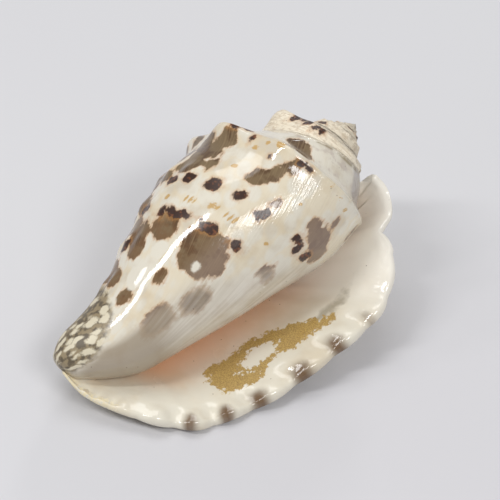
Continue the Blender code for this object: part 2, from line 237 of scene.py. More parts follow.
PATCHES = (
    (-0.579, 0.226, 2.0, 2.3), (-0.566, 0.279, 3.4, 2.5), (-0.563, 0.339, 2.8, 2.2),
    (-0.604, 0.325, 1.5, 1.2), (-0.689, 0.293, 1.8, 1.8), (-0.705, 0.265, 1.5, 1.6),
    (-0.72, 0.216, 1.4, 1.5), (-0.676, 0.075, 1.4, 2.4), (-0.69, 0.094, 1.8, 2.4),
    (-0.72, 0.13, 1.1, 1.4), (-0.705, 0.112, 1.2, 2.0), (-0.837, 0.295, 1.5, 1.4),
    (-0.857, 0.303, 1.9, 1.8), (-0.872, 0.31, 2.3, 2.0), (-0.89, 0.325, 2.2, 1.7),
    (-0.903, 0.343, 1.6, 1.1), (-0.866, 0.243, 0.6, 0.8), (-0.85, 0.463, 0.8, 1.3),
    (-0.868, 0.472, 1.3, 1.1), (-0.617, 0.535, 2.9, 2.6), (-0.715, 0.56, 3.0, 3.0),
    (-0.742, 0.575, 2.4, 2.2), (-0.692, 0.525, 1.9, 2.2), (-0.728, 0.523, 2.2, 2.8),
    (-0.765, 0.555, 1.7, 2.4), (-0.742, 0.5, 1.5, 1.5), (-0.561, 0.585, 2.3, 2.8),
    (-0.576, 0.623, 2.0, 1.8), (-0.552, 0.715, 1.8, 2.0), (-0.773, 0.745, 2.3, 2.5),
    (-0.781, 0.778, 1.4, 1.6), (-0.69, 0.66, 1.0, 1.2), (-0.8, 0.649, 2.3, 2.4),
    (-0.636, 0.755, 1.4, 1.6), (-0.485, 0.2, 1.3, 1.3), (-0.453, 0.24, 1.6, 2.0),
    (-0.47, 0.33, 2.6, 2.4), (-0.75, 0.32, 0.8, 0.9), (-0.5, 0.47, 2.4, 2.0),
)
TAN_MARKS = (
    (-0.62, 0.447, 0.3, 0.8), (-0.629, 0.446, 0.3, 0.8), (-0.638, 0.443, 0.3, 0.8),
    (-0.668, 0.433, 0.3, 0.9), (-0.677, 0.431, 0.35, 0.9), (-0.686, 0.428, 0.25, 0.6),
    (-0.705, 0.431, 0.3, 0.7), (-0.715, 0.43, 0.3, 0.8), (-0.725, 0.428, 0.4, 0.9),
    (-0.577, 0.459, 0.6, 0.6), (-0.643, 0.299, 0.7, 0.5), (-0.677, 0.178, 0.9, 0.9),
    (-0.64, 0.218, 0.8, 0.5), (-0.654, 0.192, 0.6, 0.5), (-0.797, 0.184, 0.4, 0.4),
    (-0.828, 0.194, 0.4, 0.4), (-0.858, 0.204, 0.6, 0.5), (-0.8, 0.42, 0.5, 0.4),
    (-0.78, 0.28, 0.4, 0.4),
)
WHITE_SPOTS = (
    (-0.737, 0.583, 0.8, 0.8), (-0.61, 0.794, 1.3, 1.7), (-0.583, 0.89, 1.0, 0.8),
    (-0.642, 0.892, 1.0, 1.1), (-0.583, 0.928, 0.9, 0.7), (-0.645, 0.946, 1.3, 1.2),
    (-0.605, 0.854, 1.0, 0.8), (-0.642, 0.605, 1.5, 1.5), (-0.632, 0.695, 2.1, 2.2),
    (-0.574, 0.956, 0.8, 0.7),
)

# Brown blotches between the rim's scallops: row, half width and strength
RIM_BLOTCHES = (
    (0.425, 1.3, 0.6), (0.497, 1.9, 1.0), (0.563, 2.2, 1.0),
    (0.637, 1.9, 1.0), (0.695, 1.6, 1.0), (0.764, 1.6, 0.9),
    (0.83, 1.3, 0.25),
)

# Ochre stain on the lip, with the clean island in it, and a grey smear, as the marks above
STAIN = (
    (-0.09, 0.645, 2.0, 1.9), (-0.075, 0.655, 2.2, 1.8), (-0.052, 0.65, 2.2, 1.8),
    (-0.048, 0.63, 1.8, 2.2), (-0.085, 0.615, 2.4, 2.2), (-0.09, 0.575, 1.9, 2.4),
    (-0.06, 0.585, 1.6, 2.6), (-0.078, 0.545, 2.2, 2.0), (-0.062, 0.525, 2.4, 2.3),
    (-0.054, 0.5, 1.9, 2.0), (-0.045, 0.478, 1.0, 1.6), (-0.04, 0.463, 0.7, 1.0),
)
STAIN_ISLAND = (-0.073, 0.58, 1.5, 1.9)
SMEAR = ((-0.054, 0.46, 0.6, 2.6), (-0.05, 0.42, 0.7, 3.0))

# Marks drawn at random for the back: where, sizes in millimetres, gaps in turns and share of each kind
BACK_SEED = 11
BACK_ROWS = 8
BACK_FIRST_ROW = 0.25
BACK_ROW_GAP = 0.075
BACK_FROM = -0.54
BACK_DRAWN_TO = -0.03
BACK_KEPT_TO = -0.09
BACK_START = 0.04
BACK_SIZES = (0.6, 1.5)
BACK_GAPS = (0.035, 0.075)
SPOT_SHARE = 0.45
PATCH_SHARE = 0.55
SECOND_AWAY = 0.02

# How far each kind strays from its row, and its half length and half height for a size of 1
SPOT = (0.012, 1.3, 0.9)
FIRST_PATCH = (0.02, 1.9, 1.7)
SECOND_PATCH = (0.03, 1.2, 1.6)

# Spots of the spire: first turn, last turn and gap, stray in turns, rows, and half sizes
SPIRE_SPOTS = (-3.9, -1.0, 0.13)
SPIRE_STRAY = 0.03
SPIRE_SPOT_ROWS = (0.02, 0.19)
SPIRE_SPOT = (1.0, 0.8)

# Row, and the turn behind which the clear glaze covers the front
VEIL_LINE = (
    (0.22, -1.1), (0.3, -1.0), (0.37, -0.92), (0.42, -0.87), (0.55, -0.81),
    (0.62, -0.755), (0.77, -0.745), (0.89, -0.735), (1.0, -0.7),
)

# Turn, and the row at which the chequered tip starts
TIP_LINE = (
    (-0.85, 1.0), (-0.8, 0.97), (-0.75, 0.925), (-0.7, 0.875), (-0.64, 0.81),
    (-0.58, 0.77), (-0.5, 0.74),
)

# Depth in the wall: below the first outside, from the second inside, above the third on the whorl facing it
OUTSIDE_DEPTH = 0.5
INNER_DEPTH = 0.9
FACING_DEPTH = 1.5

# Where the other colours lie, and the lengths in millimetres that their patterns are drawn by
VEIL_EDGE = (0.02, -0.03)
VEIL_END = -1.4
LOW_ROWS = (0.66, 0.82)
TIP_EDGE = (-0.04, 0.03)
TIP_TURNS = (-0.05, -0.12)
TIP_ROUND = 46.0
# Grey strip on the ramp beside the lip's lobe: partly thin glaze, partly painted shade on the spire's side
# by the posterior canal
STRIP_TURNS = (-0.845, -0.865)
STRIP_SLANT = 0.12
STRIP_END = -1.1
STRIP_ROWS = 0.17
SPIRE_WORN_TURNS = (-0.95, -1.15)
SEAM_WIDTHS = (0.03, 0.014)
SEAM_FROM = -3.2
SEAM_TO = -0.7
RAMP_ROWS = (0.13, 0.18)
RUDDY_ROWS = (0.44, 0.5)
RUDDY_TURNS = (-0.76, -0.66)
SCRATCH_TURNS = (-0.7, -0.76)
BLOTCH_TURNS = (-0.034, -0.004)
BLOTCH_SHARPNESS = 1.2
PEACH_TURNS = (-0.06, -0.2)
PEACH_SPAN = (0.25, 0.95, 0.15, 0.23)
# The lobe's pale colour, carried down to these rows, is partly painted light on the lip's upper part
LOBE_AND_PAINTED_LIGHT_ROWS = (0.3, 0.48)
LOBE_END = -0.4
CHALK_ROWS = (0.86, 0.92)
CHALK_TURNS = (-0.03, -0.005)
GROWTH_LENGTH = 80.0
GROWTH_SLANT = 0.35
FAR_OUTSIDE = -6.0


def hermite(q, start, end, leave, arrive):
    """Smooth curve between two places, with how it leaves the one and arrives at the other."""
    return (
        (2 * q**3 - 3 * q**2 + 1) * start
        + (q**3 - 2 * q**2 + q) * leave
        + (3 * q**2 - 2 * q**3) * end
        + (q**3 - q**2) * arrive
    )


def smooth_curve(table, x):
    """Smooth curve through a table's rows, the first value of each being the place along it."""
    table = np.array(table, float)
    places, values = table[:, 0], table[:, 1:]
    gaps = np.diff(places)[:, None]
    slopes = np.diff(values, axis=0) / gaps
    tangents = np.empty_like(values)
    tangents[1:-1] = (slopes[:-1] * gaps[1:] + slopes[1:] * gaps[:-1]) / (gaps[1:] + gaps[:-1])
    tangents[0] = slopes[0]
    tangents[-1] = slopes[-1]
    k = np.clip(np.searchsorted(places, x, side="right") - 1, 0, len(places) - 2)
    q = np.clip((x - places[k]) / gaps[k, 0], 0, 1)[..., None]
    return hermite(q, values[k], values[k + 1], gaps[k] * tangents[k], gaps[k] * tangents[k + 1])


def smooth_step(start, end, x):
    """Smooth rise from 0 at start to 1 at end, or the other way round if end is the smaller."""
    q = np.clip((x - start) / (end - start), 0, 1)
    return q * q * (3 - 2 * q)


def window(start, end, rise, fall, x):
    """1 between start and end, with smooth sides of the widths rise and fall inside them."""
    return smooth_step(start, start + rise, x) * (1 - smooth_step(end - fall, end, x))


def hill(middle, spread, x):
    """Bell curve of height 1."""
    return np.exp(-(((x - middle) / spread) ** 2))


def spiral(table, turn):
    """(radius, depth) of a line of the coil. Before the table's first turn it is an even spiral."""
    scale = SPIRE_GROWTH ** np.minimum(turn - SPIRE_START, 0)
    return smooth_curve(table, np.maximum(turn, SPIRE_START)) * scale[..., None]


def side_radius(turn, depth):
    """Radius of the side at a depth, growing evenly from the right edge round to the left one."""
    right, left = np.moveaxis(smooth_curve(SIDE, depth), -1, 0)
    growth = (turn + 1) / 0.5
    growth = np.where(growth > 1, 1 + BACK_GROWTH * (growth - 1), growth)
    return right ** (1 - growth) * left**growth


def suture_row(turn):
    """Row of the whorl at this turn on which the next whorl's suture runs."""
    below = spiral(SUTURE, np.minimum(turn + 1, LIP_ROOT))[..., 1]
    edge = spiral(SHOULDER, turn)[..., 1]
    row = SHOULDER_ROW + (1 - SHOULDER_ROW) * (below - edge) / (TIP_DEPTH - edge)
    climb = smooth_step(LIP_ROOT - 1, -1.0, turn)
    return row * (1 - climb) + LIP_SPIRE_ROW * climb


def knob_height(turn, row):
    """Height that the knobs add to the radius."""
    knobs = (tall * hill(at, KNOB_TURN, turn) * hill(level, KNOB_ROW, row) for at, tall, level in KNOBS)
    return sum(knobs)


def section(turn, row):
    """(radius, depth) of the whorl without its knobs."""
    seam = spiral(SUTURE, turn)
    edge = spiral(SHOULDER, turn)
    ramp = seam + (edge - seam) * np.clip(row / SHOULDER_ROW, 0, 1)[..., None]
    along = np.clip((row - SHOULDER_ROW) / (1 - SHOULDER_ROW), 0, 1)
    depth = edge[..., 1] + (TIP_DEPTH - edge[..., 1]) * along
    offset = edge[..., 0] - side_radius(turn, edge[..., 1])
    radius = side_radius(turn, depth) + offset * np.exp(-along / SHOULDER_BLEND)
    side = np.stack([radius, depth], -1)
    return np.where((row < SHOULDER_ROW)[..., None], ramp, side)


def place(turn, radius, depth):
    """Point right of, behind and above the tip, from a turn, a radius and a depth below the apex."""
    angle = -2 * math.pi * turn
    across = radius * np.cos(angle) + smooth_curve(TIP_BEND, depth)[..., 0]
    x = across * math.cos(COIL_LEAN) + depth * math.sin(COIL_LEAN)
    z = APEX_HEIGHT - depth * math.cos(COIL_LEAN) + across * math.sin(COIL_LEAN)
    return np.stack([x, radius * np.sin(angle), z], -1)


def away_from_axis(turn):
    """Direction that the radius at a turn points in."""
    level = 0.0 * turn
    return place(turn, 1.0, level) - place(turn, 0.0, level)


def whorl(turn, row, knobs=True):
    """Outer face of the whorl, with or without its knobs."""
    turn, row = np.broadcast_arrays(turn, row)
    radius, depth = np.moveaxis(section(turn, row), -1, 0)
    if knobs:
        radius = radius + knob_height(turn, row)
    return place(turn, radius, depth)


def rim(row):
    """The lip's outer edge, from where it meets the spire to the tip."""
    start = whorl(-1.0, LIP_SPIRE_ROW)
    tip = place(-1.0, 0.0, TIP_DEPTH)
    table = [(0.0, *start)] + list(RIM) + [(1.0, *tip)]
    return smooth_curve(table, row)


def rim_outward(row, step=LIP_STEP):
    """Direction away from the lip in its own plane, square to the rim."""
    along = rim(np.minimum(row + step, 1.0)) - rim(np.maximum(row - step, 0.0))
    return unit(np.cross(LIP_FACING, along))


def unit(vector):
    return vector / (np.linalg.norm(vector, axis=-1, keepdims=True) + 1e-9)


def scallop(row):
    """How far the wavy rim stands out at a row."""
    along = np.clip((row - SCALLOP_FROM) / (SCALLOP_TO - SCALLOP_FROM), 0, 1)
    wave = np.abs(np.sin(math.pi * SCALLOPS * along)) - 0.5
    return SCALLOP_REACH * wave * ((along > 0) & (along < 1))


def free_lip(turn, row):
    """The lip as it would spread if nothing held it on the spire, from the whorl's back to the rim."""
    u = ((turn - LIP_ROOT) / -LIP_ROOT)[..., None]
    root = whorl(LIP_ROOT, row, False)
    leave = unit(root - whorl(LIP_ROOT - LIP_STEP, row, False))
    outward = rim_outward(row, SPREAD_STEP)
    edge = rim(row) + rim_outward(row) * scallop(row)[..., None]
    reach = np.linalg.norm(edge - root, axis=-1, keepdims=True)
    return hermite(u, root, edge, leave * reach * LIP_LEAVES, outward * reach * LIP_ARRIVES)


def lip(turn, row, knobs=True):
    """Outer face of the lip. Its first row follows the seam on the spire."""
    across = (turn - LIP_ROOT) / -LIP_ROOT
    swell = np.sin(math.pi * across) * hill(SWELL_ROW, SWELL_SPREAD, row) * smooth_step(*SWELL_ROWS, row)
    face = free_lip(turn, row) + np.array(SWELL_AWAY) * swell[..., None]
    if knobs:
        face = face + np.array((0.0, 1.0, 0.0)) * knob_height(turn, row)[..., None]
    seam = whorl(turn - 1, suture_row(turn - 1))
    hold = 1 - smooth_step(0.0, HOLD_ROW, row)
    return face + (seam - free_lip(turn, np.zeros_like(row))) * hold[..., None]


def outer(turn, row, knobs=True):
    """Outer face of the whorl, and of the lip in front of where it starts."""
    turn, row = np.broadcast_arrays(turn, row)
    on_lip = (turn > LIP_ROOT)[..., None]
    return np.where(on_lip, lip(np.maximum(turn, LIP_ROOT), row, knobs), whorl(turn, row, knobs))


def fold_wave(turn, row):
    """Waves of the lip toward its scalloped rim, 1 on a lobe and -1 between two."""
    along = np.clip((row - SCALLOP_FROM) / (SCALLOP_TO - SCALLOP_FROM), 0, 1)
    wide = np.cos(2 * math.pi * SCALLOPS * along) * window(0.0, 1.0, FOLD_FADE, FOLD_FADE, along)
    wide = wide * smooth_step(*FOLD_ROWS, row)
    end = np.clip((row - SCALLOP_TO) / (END_FOLDS_TO - SCALLOP_TO), 0, 1)
    small = np.cos(2 * math.pi * END_FOLDS * end) * window(0.0, 1.0, END_FOLD_FADE, END_FOLD_FADE, end)
    return -(wide + END_FOLD_SHARE * small) * smooth_step(*FOLD_TURNS, turn)


def nodules(turn, row):
    """Height of the low nodules that stand in rows along the last whorl."""
    height = 0.0
    for k, (nodule_row, first, last, tall) in enumerate(NODULES):
        phase = (turn / NODULE_SPACING + 0.5 * k) % 1 - 0.5
        bump = hill(0.0, NODULE_WIDTH, phase * NODULE_SPACING) * hill(nodule_row, NODULE_TALL, row)
        fades = (first - NODULE_FADE / 2, last + NODULE_FADE, NODULE_FADE, NODULE_FADE)
        height = height + tall * bump * window(*fades, turn)
    return height


def spire_beads(turn, share):
    """Height of the small nodules on the early whorls, which the knobs take over from."""
    size = SPIRE_GROWTH ** np.minimum(turn - SPIRE_START, 0) * (1 - smooth_step(*BEADLESS_TURNS, turn))
    round_it = 0.5 + 0.5 * np.cos(2 * math.pi * SPIRE_BEADS * turn)
    return SPIRE_BEAD_HEIGHT * size * round_it * hill(BEAD_PLACE, BEAD_SPREAD, share)


def rows_at(turns):
    """Rows of each column of the last whorl. The first few are those that the spire continues."""
    seam_row = LIP_SPIRE_ROW + (SUTURE_ROW - LIP_SPIRE_ROW) * smooth_step(*SEAM_TURNS, turns)[:, None]
    upper = seam_row * np.linspace(0, 1, SPIRE_ROWS + 1)
    lower = seam_row + (1 - seam_row) * np.linspace(0, 1, SIDE_ROWS + 1)[1:]
    return np.concatenate([upper, lower], axis=1)


def spire_columns(turns):
    """Points and rows of the spire's columns, from their own seam to the next whorl's."""
    share = np.linspace(0, 1, SPIRE_ROWS + 1)
    rows = suture_row(turns)[:, None] * share
    late = whorl(turns[:, None], rows)
    seam, edge, below = (spiral(table, at)[:, None] for table, at in (
        (SUTURE, turns), (SHOULDER, turns), (SUTURE, turns + 1)))
    across = share[:, None]
    ramp = seam + (edge - seam) * across / RAMP_SHARE
    side = edge + (below - edge) * (across - RAMP_SHARE) / (1 - RAMP_SHARE)
    line = np.where(across < RAMP_SHARE, ramp, side)
    early = place(turns[:, None], line[..., 0], line[..., 1])
    points = np.where((turns < SPIRE_START)[:, None, None], early, late)
    beads = spire_beads(turns[:, None], share)[..., None]
    return points + away_from_axis(turns[:, None]) * beads, rows


def wall_thickness(turn, row):
    lip_part = smooth_step(*LIP_WALL_TURNS, turn)
    thick = WALL + (LIP_WALL - WALL) * lip_part
    lobe = lip_part * (1 - smooth_step(*LOBE_WALL_ROWS, row))
    return thick * (1 - TIP_THINNER * smooth_step(*TIP_WALL_ROWS, row)) * (1 - LOBE_THINNER * lobe)


def inward_at(turn, row, step, knobs=True):
    """Direction into the wall, from how the outer face runs on either side of each point."""
    along_turn = outer(np.minimum(turn + step, 0), row, knobs) - outer(turn - step, row, knobs)
    below, above = np.minimum(row + step, 1), np.maximum(row - step, 0)
    along_row = outer(turn, below, knobs) - outer(turn, above, knobs)
    return unit(np.cross(along_row, along_turn))


def inner_face(turns, rows):
    """The wall's inner face: the outer face moved inward by the wall's thickness, with the rim's folds."""
    deep = wall_thickness(turns, rows) + (FOLD_DEPTH + FOLD_HEIGHT) * fold_wave(turns, rows)
    return outer(turns, rows, False) + inward_at(turns, rows, WALL_STEP, False) * deep[..., None]


def hollow_rings(turns):
    """Closed sections of the hollow: the wall's inner face, and the earlier whorl facing it."""
    rows = rows_at(turns)
    turn = turns[:, None]
    inside = smooth_step(*HOLLOW_STARTS, -turn)
    first = suture_row(turn - 1) + BELOW_SEAM * inside
    last = 1 - ABOVE_TIP * inside - TIP_RISE * smooth_step(*TIP_RISE_TURNS, -turn)
    facing_rows = first + (last - first) * np.linspace(0, 1, SIDE_ROWS + 1)
    facing = whorl(turn - 1, facing_rows, False)
    shortened = HOLD_ROW + (rows - HOLD_ROW) * (last - HOLD_ROW) / (1 - HOLD_ROW)
    wall_rows = np.where(rows > HOLD_ROW, shortened, rows)
    wall = inner_face(turn + 0 * rows, wall_rows)
    hold_top = (1 - smooth_step(*TOP_HELD_ROWS, rows))[..., None]
    hold_tip = smooth_step(*TIP_HELD_ROWS, rows)[..., None]
    wall = wall + (facing[:, :1] - wall[:, :1]) * hold_top + (facing[:, -1:] - wall[:, -1:]) * hold_tip
    push = SEAM_GAP * np.sin(math.pi * np.clip(rows / SEAM_GAP_ROWS, 0, 1))
    wall = wall + away_from_axis(turn) * push[..., None]
    wall[:, 0], wall[:, -1] = facing[:, 0], facing[:, -1]
    shut = HOLLOW_SHUT * smooth_step(HOLLOW_END + HOLLOW_SHUT_TURNS, HOLLOW_END, turn)[..., None]
    middle = np.concatenate([wall, facing], axis=1).mean(axis=1, keepdims=True)
    return wall + (middle - wall) * shut, facing + (middle - facing) * shut, wall_rows, facing_rows


class Loft:
    """Points and faces, with each point's place: its turn, row and depth in the wall."""

    def __init__(self):
        self.points = []
        self.faces = []
        self.places = []

    def add(self, points, turn, rows, depth):
        """depth is 0 on the outside, 1 on the lip's inner face and 2 on the earlier whorl inside."""
        first = len(self.points)
        self.points.extend(points)
        self.places.extend((turn, row, depth) for row in np.broadcast_to(rows, len(points)))
        return list(range(first, len(self.points)))

    def strip(self, left, right):
        """Faces between two columns of point numbers. Equal numbers make a triangle."""
        for a, b, c, d in zip(left, left[1:], right[1:], right):
            face = list(dict.fromkeys((a, b, c, d)))
            if len(face) > 2:
                self.faces.append(face)

    def fan(self, middle, edge):
        for a, b in zip(edge, edge[1:]):
            self.faces.append((middle, a, b))


def carved(turn, row):
    """Outer face of the last whorl and the lip, with its nodules, crest and folds."""
    turn, row = np.broadcast_arrays(turn, row)
    crest = CREST_HEIGHT * hill(SHOULDER_ROW, CREST_SPREAD, row)
    hollow = RAMP_HOLLOW * hill(RAMP_HOLLOW_ROW, RAMP_HOLLOW_SPREAD, row)
    lift = nodules(turn, row) - FOLD_HEIGHT * fold_wave(turn, row)
    lift = lift + smooth_step(*CREST_TURNS, turn) * (crest - hollow)
    return outer(turn, row) - inward_at(turn, row, CARVED_STEP) * lift[..., None]


def build_shell():
    """The whole surface: spire, last whorl and lip, apex, rim and hollow."""
    loft = Loft()
    per_turn = COLUMNS_PER_TURN
    spire_count = SPIRE_TURNS * per_turn
    spire_turns = np.arange(-spire_count, 0) / per_turn - 1
    whorl_turns = np.arange(-per_turn, 1) / per_turn
    tip = loft.add([place(-1.0, 0.0, TIP_DEPTH)], TIP_TURN, 1.0, 0)[0]
    columns = []
    for turn, points, rows in zip(spire_turns, *spire_columns(spire_turns)):
        columns.append(loft.add(points[:-1], turn, rows[:-1], 0))
    whorl_rows = rows_at(whorl_turns)
    for turn, points, rows in zip(whorl_turns, carved(whorl_turns[:, None], whorl_rows), whorl_rows):
        columns.append(loft.add(points[:-1], turn, rows[:-1], 0) + [tip])
    columns[spire_count][SPIRE_ROWS] = columns[-1][0]
    for k in range(spire_count):
        columns[k].append(columns[k + per_turn][0])
    for k in range(spire_count):
        loft.strip(columns[k], columns[k + 1][: SPIRE_ROWS + 1])
    for k in range(spire_count, spire_count + per_turn):
        loft.strip(columns[k], columns[k + 1])
    apex = loft.add([place(-1.0, 0.0, APEX_DEPTH)], APEX_TURN, 0.0, 0)[0]
    loft.fan(apex, [columns[k][0] for k in range(per_turn + 1)])
    loft.fan(apex, columns[0][::-1])
    first_ring = close_rim(loft, columns[-1])
    build_hollow(loft, first_ring, columns[spire_count][SPIRE_ROWS:])
    return loft


def close_rim(loft, edge):
    """Rounded bead from the lip's outer face to its inner face."""
    rows = rows_at(np.zeros(1))[0]
    start = np.array([loft.points[k] for k in edge])
    outward = rim_outward(rows)
    along = np.gradient(start, axis=0)
    inward = unit(np.cross(along, outward))
    thick = wall_thickness(np.zeros_like(rows), rows) * smooth_step(*RIM_WALL_ROWS, rows)
    thick = thick + FOLD_DEPTH * fold_wave(0.0, rows)
    previous = edge
    for k in range(1, BEAD_COLUMNS + 1):
        angle = math.pi * k / BEAD_COLUMNS
        across = inward * (thick * (1 - math.cos(angle)) / 2)[:, None]
        bulge = outward * (thick * math.sin(angle) * BEAD_BULGE * smooth_step(*BEAD_ROWS, rows))[:, None]
        points = (start + across + bulge)[1:-1]
        column = [edge[0]] + loft.add(points, 0.0, rows[1:-1], k / BEAD_COLUMNS) + [edge[-1]]
        loft.strip(previous, column)
        previous = column
    return previous


def build_hollow(loft, wall_edge, facing_edge):
    """The hollow from the lip's edges back to where it ends."""
    turns = np.arange(-1, HOLLOW_END * COLUMNS_PER_TURN - 0.1, -1) / COLUMNS_PER_TURN
    wall_before, facing_before = wall_edge, facing_edge
    for turn, wall, facing, wall_rows, facing_rows in zip(turns, *hollow_rings(turns)):
        wall_now = loft.add(wall, turn, wall_rows, 1)
        facing_now = loft.add(facing[1:-1], turn - 1, facing_rows[1:-1], 2)
        facing_now = [wall_now[0]] + facing_now + [wall_now[-1]]
        loft.strip(wall_before, wall_now)
        loft.strip(facing_now, facing_before)
        wall_before, facing_before = wall_now, facing_now
    loft.fan(wall_before[SPIRE_ROWS], wall_before[:SPIRE_ROWS])
    loft.strip(wall_before[SPIRE_ROWS:], [wall_before[0]] + facing_before[1:])


def resting_basis():
    """The frame's x, y and z in the shell's own directions, as columns."""
    up = unit(np.array(RESTING_UP))
    forward = unit(np.array((0.0, 0.0, 1.0)) - up * up[2])
    return np.stack([forward, np.cross(up, forward), up], 1)


def in_frame(points):
    """Turns points of the shell as it rests, in metres of the frame."""
    return (np.array(points) @ resting_basis() - np.array(FRAME_SHIFT)) * MM


def mark_field(marks, turn, row, scale):
    """About how far inside its nearest mark each point lies, in millimetres. Outside it is negative."""
    field = np.full(turn.shape, FAR_OUTSIDE)
    for mark_turn, mark_row, half_turn, half_row in marks:
        across = (turn - mark_turn) * scale / half_turn
        along = (row - mark_row) * SIDE_HEIGHT / half_row
        inside = (1 - np.hypot(across, along)) * min(half_turn, half_row)
        field = np.maximum(field, inside)
    return field


def back_marks():
    """Spots and patches for the back, in uneven spiral rows like those in front."""
    rng = np.random.default_rng(BACK_SEED)

    def mark(kind, turn, row, size):
        stray, length, height = kind
        return turn, row + rng.uniform(-stray, stray), size * length, size * height

    spots, patches = [], []
    for k in range(BACK_ROWS):
        row = BACK_FIRST_ROW + BACK_ROW_GAP * k
        turn = BACK_FROM + rng.uniform(0, BACK_START)
        while turn < BACK_DRAWN_TO:
            size = rng.uniform(*BACK_SIZES)
            if rng.random() < SPOT_SHARE:
                spots.append(mark(SPOT, turn, row, size))
            elif rng.random() < PATCH_SHARE:
                patches.append(mark(FIRST_PATCH, turn, row, size))
                patches.append(mark(SECOND_PATCH, turn + SECOND_AWAY, row, size))
            turn += rng.uniform(*BACK_GAPS)
    for turn in np.arange(*SPIRE_SPOTS):
        turn += rng.uniform(-SPIRE_STRAY, SPIRE_STRAY)
        spots.append((turn, rng.uniform(*SPIRE_SPOT_ROWS), *SPIRE_SPOT))
    return [tuple(mark for mark in marks if mark[0] < BACK_KEPT_TO) for marks in (spots, patches)]


def straight(table, x):
    """Straight lines through a table's rows, the first value of each being the place along it."""
    return np.interp(x, *zip(*table))


def whorl_amounts(turn, row, outside):
    """Amounts for the outside's colours, apart from the marks."""
    tip = smooth_step(*TIP_EDGE, row - straight(TIP_LINE, turn)) * smooth_step(*TIP_TURNS, turn)
    tip = tip * (turn > -1) * outside
    veil = smooth_step(*VEIL_EDGE, turn - straight(VEIL_LINE, row)) * (turn > VEIL_END)
    veil = veil * outside * (1 - tip)
    # The grey strip by the lip's lobe is partly thin glaze and partly painted shade
    strip = smooth_step(*STRIP_TURNS, turn + STRIP_SLANT * row) * (turn > STRIP_END) * (row < STRIP_ROWS)
    seam = 1 - smooth_step(0.0, 1.0, row / np.where(turn < -1, *SEAM_WIDTHS))
    seam = seam * (turn > SEAM_FROM) * (turn < SEAM_TO)
    return {
        "tip": tip,
        "veil": veil,
        "low": smooth_step(*LOW_ROWS, row) * veil,
        "strip": strip * outside,
        "spire": smooth_step(*SPIRE_WORN_TURNS, turn) * outside,
        "seam": seam * outside,
        "ramp": (1 - smooth_step(*RAMP_ROWS, row)) * outside,
        "ruddy": smooth_step(*RUDDY_ROWS, row) * smooth_step(*RUDDY_TURNS, turn) * (1 - veil),
        "scratch": smooth_step(*SCRATCH_TURNS, turn) * (1 - veil),
        "round": turn * TIP_ROUND,
        "growth": turn * GROWTH_LENGTH + GROWTH_SLANT * row * SIDE_HEIGHT,
        "cord": row * SIDE_HEIGHT,
    }


def lip_amounts(turn, row, depth):
    """Amounts for the colours of the lip and of the hollow behind it."""
    blotch = np.zeros(turn.shape)
    for blotch_row, half, strength in RIM_BLOTCHES:
        across = np.exp(-BLOTCH_SHARPNESS * ((row - blotch_row) * RIM_LENGTH / half) ** 2)
        blotch = np.maximum(blotch, across * strength)
    inner = depth >= INNER_DEPTH
    facing = depth > FACING_DEPTH
    scale = np.full(turn.shape, LIP_REACH)
    stain = mark_field(STAIN, turn, row, scale)
    stain = np.minimum(stain, -mark_field((STAIN_ISLAND,), turn, row, scale))
    deep = smooth_step(*PEACH_TURNS, turn) * window(*PEACH_SPAN, row)
    return {
        "inside": np.clip(depth, 0, 1),
        "facing": np.where(facing, 1.0, 0.0),
        "blotch": blotch * smooth_step(*BLOTCH_TURNS, turn),
        "stain": np.where(inner, stain, FAR_OUTSIDE),
        "smear": np.where(inner, mark_field(SMEAR, turn, row, scale), FAR_OUTSIDE),
        "peach": np.where(inner, np.maximum(deep, facing), 0.0),
        # Pale lobe, reaching down the upper lip as painted light
        "lobe": (1 - smooth_step(*LOBE_AND_PAINTED_LIGHT_ROWS, row)) * (turn > LOBE_END),
        "chalk": smooth_step(*CHALK_ROWS, row) * smooth_step(*CHALK_TURNS, turn),
    }


def surface_amounts(loft):
    """The amounts that the colours are mixed by, one number a point."""
    turn, row, depth = np.array(loft.places, float).T
    circumference = 2 * math.pi * section(turn, np.clip(row, 0, 1))[..., 0]
    spots, patches = back_marks()
    marks = {"dark": DARK_MARKS + spots, "patch": PATCHES + patches, "tan": TAN_MARKS, "white": WHITE_SPOTS}
    amounts = {name: mark_field(table, turn, row, circumference) for name, table in marks.items()}
    amounts.update(whorl_amounts(turn, row, depth < OUTSIDE_DEPTH))
    amounts.update(lip_amounts(turn, row, depth))
    return amounts


def shell_mesh():
    """The surface as a mesh, with its colour amounts on the points."""
    loft = build_shell()
    mesh = bpy.data.meshes.new("shell_surface")
    mesh.from_pydata([tuple(p) for p in in_frame(loft.points)], [], loft.faces)
    shape = bmesh.new()
    shape.from_mesh(mesh)
    bmesh.ops.recalc_face_normals(shape, faces=shape.faces)
    shape.to_mesh(mesh)
    shape.free()
    for name, values in surface_amounts(loft).items():
        layer = mesh.attributes.new(name, "FLOAT", "POINT")
        layer.data.foreach_set("value", np.asarray(values, np.float32))
    mesh.shade_smooth()
    return mesh


def srgb(red, green, blue):
    """A colour given as on a screen, 0 to 255, as the shader takes it."""
    parts = [v / 255 for v in (red, green, blue)]
    linear = [v / 12.92 if v <= 0.04045 else ((v + 0.055) / 1.055) ** 2.4 for v in parts]
    return (*linear, 1.0)


